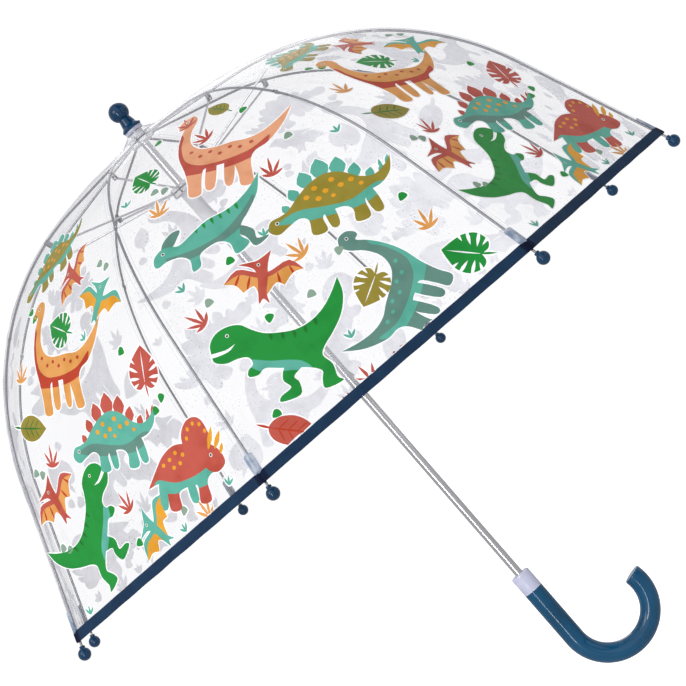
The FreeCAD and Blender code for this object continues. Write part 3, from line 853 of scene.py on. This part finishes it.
def make_film_band(gore, band, film):
    number, body, start, end, keep = band
    rows = stations(start, end)
    shares = [2 * c / COLUMNS - 1 for c in range(COLUMNS + 1)]
    places = [(s, u) for s in rows for u in shares]
    points = [film_point(s, u, gore) for s, u in places]
    piece = new_piece(
        f"film_{gore + 1}_band_{number}", points, grid_faces(len(rows), len(shares)), film
    )
    give_attribute(piece, "from_rib", [(1 - abs(u)) * half_width(s) for s, u in places])
    piece.data.normals_split_custom_set_from_vertices([film_normal(s, u, gore) for s, u in places])
    if start in (FILM_START, FLEX_S):
        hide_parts(f"{body}_{gore + 1}")
    fold_with(piece, gore, body)
    return piece


def declare_film(band):
    """Works out the widths and length of the band's stretch of the flat panel, and does nothing with
    them.
    """
    _, _, start, end, _ = band
    wide, narrow, length = 2 * half_width(end), 2 * half_width(start), end - start


def make_print_band(gore, band, cells, material):
    number, body, start, end, keep = band
    mine = [c for c in cells if start < sum(p[1] for p in c[0]) / 3 < end]
    if not mine:
        return None
    points, faces, index, colours = [], [], {}, []
    for corners, ink, out in mine:
        face = []
        for y, s in corners:
            key = (round(y, 7), round(s, 7), out)
            if key not in index:
                index[key] = len(points)
                points.append(film_point(s, y / half_width(s), gore, out))
            face.append(index[key])
        if len(set(face)) < 3:
            continue
        a, b, c = (points[k] for k in face)
        outward = film_normal(corners[0][1], corners[0][0] / half_width(corners[0][1]), gore)
        faces.append(face if (b - a).cross(c - a).dot(outward) > 0 else face[::-1])
        glow = 1.0 if ink == "under_print" else 0.0
        colours += [(*linear(INKS[ink])[:3], glow)] * 3
    piece = new_piece(f"print_{gore + 1}_band_{number}", points, faces, material)
    layer = piece.data.color_attributes.new("ink", "FLOAT_COLOR", "CORNER")
    layer.data.foreach_set("color", [v for colour in colours for v in colour])
    fold_with(piece, gore, body)
    return piece


def make_hem(gore, material):
    """Tape folded over the film's edge, from rib to rib."""
    body, keep = "lower_gore", LOWER_BANDS[-1][1]
    around, lengthwise = 20, 40
    half_thick, pucker_height = 0.85 * MM, 0.12 * MM
    flatness, edge_roundness = 0.45, 0.7
    shares = [2 * c / lengthwise - 1 for c in range(lengthwise + 1)]
    points, along, round_it, from_rib = [], [], [], []
    for u in shares:
        for k in range(around):
            a = 2 * math.pi * k / around
            reach = math.copysign(abs(math.cos(a)) ** flatness, math.cos(a)) * HEM_WIDTH / 2
            rise = math.copysign(abs(math.sin(a)) ** edge_roundness, math.sin(a)) * half_thick
            pucker = pucker_height * math.sin(u * 140) * abs(math.sin(a))
            points.append(film_point(HEM_MIDDLE + reach, u, gore, rise + pucker))
            along.append(u * half_width(HEM_MIDDLE))
            round_it.append(reach)
            from_rib.append((1 - abs(u)) * half_width(HEM_MIDDLE))
    faces = grid_faces(len(shares), around, closed=True)
    caps = [list(range(around)), list(range(len(points) - around, len(points)))[::-1]]
    piece = new_piece(f"hem_{gore + 1}", points, faces + caps, material)
    for name, values in (("along", along), ("around", round_it), ("from_rib", from_rib)):
        give_attribute(piece, name, values)
    fold_with(piece, gore, body)
    return piece


def make_tab(rib, material):
    """Welded patch over the seam just above the hem, bent along the rib."""
    lap, corner = 1.5 * MM, 2.5 * MM
    outer_out, inner_out = 0.75 * MM, 0.35 * MM
    start = HEM_MIDDLE - HEM_WIDTH / 2 - TAB_LENGTH + lap
    rows, columns = 14, 9
    outer, inner = [], []
    for r in range(rows + 1):
        along = TAB_LENGTH * r / rows
        from_end = min(along, TAB_LENGTH - along)
        cut = corner - math.sqrt(max(corner**2 - max(corner - from_end, 0) ** 2, 0))
        for c in range(columns):
            across = (2 * c / (columns - 1) - 1) * (TAB_WIDTH / 2 - cut)
            s = start + along
            side = rib if across >= 0 else (rib - 1) % GORES
            u = -1 + across / half_width(s) if across >= 0 else 1 + across / half_width(s)
            for store, out in ((outer, outer_out), (inner, inner_out)):
                store.append(film_point(s, u, side, out))
    faces = grid_faces(rows + 1, columns)
    shift = len(outer)
    back = [tuple(k + shift for k in face[::-1]) for face in faces]
    piece = new_piece(f"seam_tab_{rib + 1}", outer + inner, faces + back, material)
    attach(piece, f"lower_rib_{rib + 1}")


def make_peak(film):
    """Fixed peak of the film: drawn up from the panels' edges to the washer."""
    rings, per_gore = 10, COLUMNS // 2
    edge = [
        film_point(FILM_START, 2 * c / per_gore - 1, gore)
        for gore in range(GORES)
        for c in range(per_gore)
    ]
    top_r, under_washer, pleat, far_from_rib = 5.5 * MM, 0.05 * MM, 0.25 * MM, 20 * MM
    points = []
    for ring in range(rings + 1):
        share = ring / rings
        for i, rim in enumerate(edge):
            rim_r = math.hypot(rim.x, rim.y)
            radius = rim_r + (top_r - rim_r) * share
            lift = max(0.0, min(1.0, (rim_r - radius) / (rim_r - WASHER_R)))
            z = rim.z + (WASHER_SEAT - under_washer - rim.z) * lift ** 1.3
            z += pleat * math.sin(i * 1.9) * lift * (1 - lift) * 4
            points.append(Vector((rim.x / rim_r * radius, rim.y / rim_r * radius, z)))
    faces = [face[::-1] for face in grid_faces(rings + 1, len(edge), closed=True)]
    piece = new_piece("film_peak", points, faces, film)
    give_attribute(piece, "from_rib", [far_from_rib] * len(points))
    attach(piece, "root")
    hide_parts("canopy_cap")


def make_canopy():
    film, ink, tape = film_material(), ink_material(), tape_material()
    tab = translucent_material("seam_tab", (0.48, 0.57, 0.68), 0.68)
    all_bands = bands()
    cut_rows = sorted({s for _, _, start, end, _ in all_bands for s in stations(start, end)})
    printed = {design: print_cells(design, cut_rows) for design in ANIMALS}
    for gore in range(GORES):
        hem = make_hem(gore, tape)
        for band in all_bands:
            piece = make_film_band(gore, band, film)
            printing = make_print_band(gore, band, printed[1 + gore % 2], ink)
            extras = [printing] if printing else []
            if band is all_bands[-1]:
                extras.append(hem)
            declare_film(band)
        make_tab(gore, tab)
    make_peak(film)


make_canopy()


# ---- the CAD pieces' finishes --------------------------------------------------------------
def finish_cad_pieces():
    along_shaft = (1, 1, 0.004)
    chrome = metal_material("chrome_shaft", (0.88, 0.88, 0.89), 0.20, along_shaft)
    # The ribs get a darker grey than the same steel in the stretchers and wires: painted shade, so
    # that they show as dark lines.
    shaded_rib_steel = metal_material("steel_rib", (0.62, 0.62, 0.64), 0.36, (1, 1, 1))
    bright = metal_material("steel_stretcher", (0.88, 0.88, 0.89), 0.40, (1, 1, 1))
    wire = metal_material("steel_wire", (0.86, 0.86, 0.87), 0.36, (1, 1, 1))
    blue = plastic_material("blue_handle", (0.0, 0.31, 0.46), 0.22, coat=0.7, grain=0.01)
    navy = plastic_material("navy_plastic", (0.0, 0.23, 0.38), 0.25, coat=0.6, grain=0.01)
    white = plastic_material("white_plastic", (0.90, 0.90, 0.91), 0.38)
    lavender = plastic_material("lavender_collar", (0.83, 0.84, 0.93), 0.30, coat=0.3)
    milky = translucent_material("clear_washer", (0.80, 0.81, 0.90), 0.7)
    finishes = {
        "shaft_tube": chrome,
        "handle_crook": blue,
        "handle_collar": lavender,
        "ferrule": navy,
        "canopy_washer": milky,
        "top_notch": white,
        "runner": white,
        "top_notch_wire": wire,
        "runner_wire": wire,
        "top_catch": wire,
        "bottom_catch": wire,
    }
    for number in range(1, GORES + 1):
        finishes[f"rib_{number}"] = shaded_rib_steel
        finishes[f"lower_rib_{number}"] = shaded_rib_steel
        finishes[f"stretcher_{number}"] = bright
        finishes[f"rib_tip_{number}"] = navy
    for name, material in finishes.items():
        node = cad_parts[name]
        if not node.material_slots:
            node.data.materials.append(material)
        for slot in node.material_slots:
            slot.material = material


finish_cad_pieces()


# ---- light, floor and backdrop -------------------------------------------------------------
def make_light(name, place, target, width, height, power):
    data = bpy.data.lights.new(name, "AREA")
    data.shape = "RECTANGLE"
    data.size = width
    data.size_y = height
    data.energy = power
    light = bpy.data.objects.new(name, data)
    light.location = place
    aim = Vector(target) - Vector(place)
    light.rotation_euler = aim.to_track_quat("-Z", "Y").to_euler()
    bpy.context.scene.collection.objects.link(light)


def seen_or_lighting(tree, for_lighting, for_camera, data_type):
    """Gives the camera one value or colour, and every ray that lights the object another."""
    path = tree.nodes.new("ShaderNodeLightPath")
    chosen = tree.nodes.new("ShaderNodeMix")
    chosen.data_type = data_type
    sockets = {s.name: s for s in chosen.inputs if s.enabled}
    tree.links.new(path.outputs["Is Camera Ray"], sockets["Factor"])
    for name, value in (("A", for_lighting), ("B", for_camera)):
        if isinstance(value, bpy.types.NodeSocket):
            tree.links.new(value, sockets[name])
        else:
            sockets[name].default_value = value
    return next(s for s in chosen.outputs if s.enabled)


def make_studio():
    middle = (0, 0, 0.35)
    make_light("key", (-1.6, -1.8, 2.1), middle, width=1.3, height=1.3, power=19.0)
    make_light("fill", (2.2, -1.4, 0.9), middle, width=1.6, height=1.6, power=6.0)
    make_light("strip", (-0.9, -2.1, 0.1), middle, width=0.16, height=1.6, power=14.0)
    make_light("rim", (0.4, 2.2, 1.8), middle, width=1.2, height=1.2, power=9.0)

    below_object, reach = 0.35, 30.0
    glow_as_light, glow_as_seen = 0.05, 1.0
    floor_z = cad_box[0].z - below_object
    corners = [(x * reach, y * reach, floor_z) for x, y in ((-1, -1), (1, -1), (1, 1), (-1, 1))]
    pale = Material("pale_floor", Roughness=0.9)
    darker, lighter = linear((0.78, 0.78, 0.78)), linear((0.80, 0.80, 0.80))
    pale.set("Base Color", pale.mix(pale.noise(3.0, 2.0), darker, lighter))
    pale.shader.inputs["Emission Color"].default_value = (1, 1, 1, 1)
    glow = seen_or_lighting(pale.data.node_tree, glow_as_light, glow_as_seen, "FLOAT")
    pale.set("Emission Strength", glow)
    floor = new_piece("floor", corners, [(0, 1, 2, 3)], pale.data)

    world = bpy.data.worlds.new("studio")
    bpy.context.scene.world = world
    world.use_nodes = True
    nodes, links = world.node_tree.nodes, world.node_tree.links
    direction = nodes.new("ShaderNodeTexCoord")
    split = nodes.new("ShaderNodeSeparateXYZ")
    round_it = nodes.new("ShaderNodeMath")
    round_it.operation = "ARCTAN2"
    place = nodes.new("ShaderNodeMapRange")
    place.inputs["From Min"].default_value = -math.pi
    place.inputs["From Max"].default_value = math.pi
    ramp = nodes.new("ShaderNodeValToRGB")
    links.new(direction.outputs["Generated"], split.inputs["Vector"])
    links.new(split.outputs["Y"], round_it.inputs[0])
    links.new(split.outputs["X"], round_it.inputs[1])
    links.new(round_it.outputs["Value"], place.inputs["Value"])
    links.new(place.outputs["Result"], ramp.inputs["Fac"])
    # shares of a turn round the object: 0.25 is the camera's side, 0.75 the far side
    marks = (
        (0.0, 0.60), (0.08, 0.45), (0.13, 0.95), (0.31, 0.95), (0.35, 0.05), (0.45, 0.07),
        (0.50, 0.75), (0.75, 0.62), (1.0, 0.60),
    )
    stops = ramp.color_ramp.elements
    while len(stops) < len(marks):
        stops.new(0.5)
    for stop, (where, grey) in zip(stops, marks):
        stop.position = where
        stop.color = (grey, grey, grey * 1.02, 1)
    white = (1.03, 1.03, 1.03, 1)
    seen = seen_or_lighting(world.node_tree, ramp.outputs["Color"], white, "RGBA")
    links.new(seen, nodes["Background"].inputs["Color"])
    bpy.context.scene.view_settings.view_transform = "Standard"


make_studio()
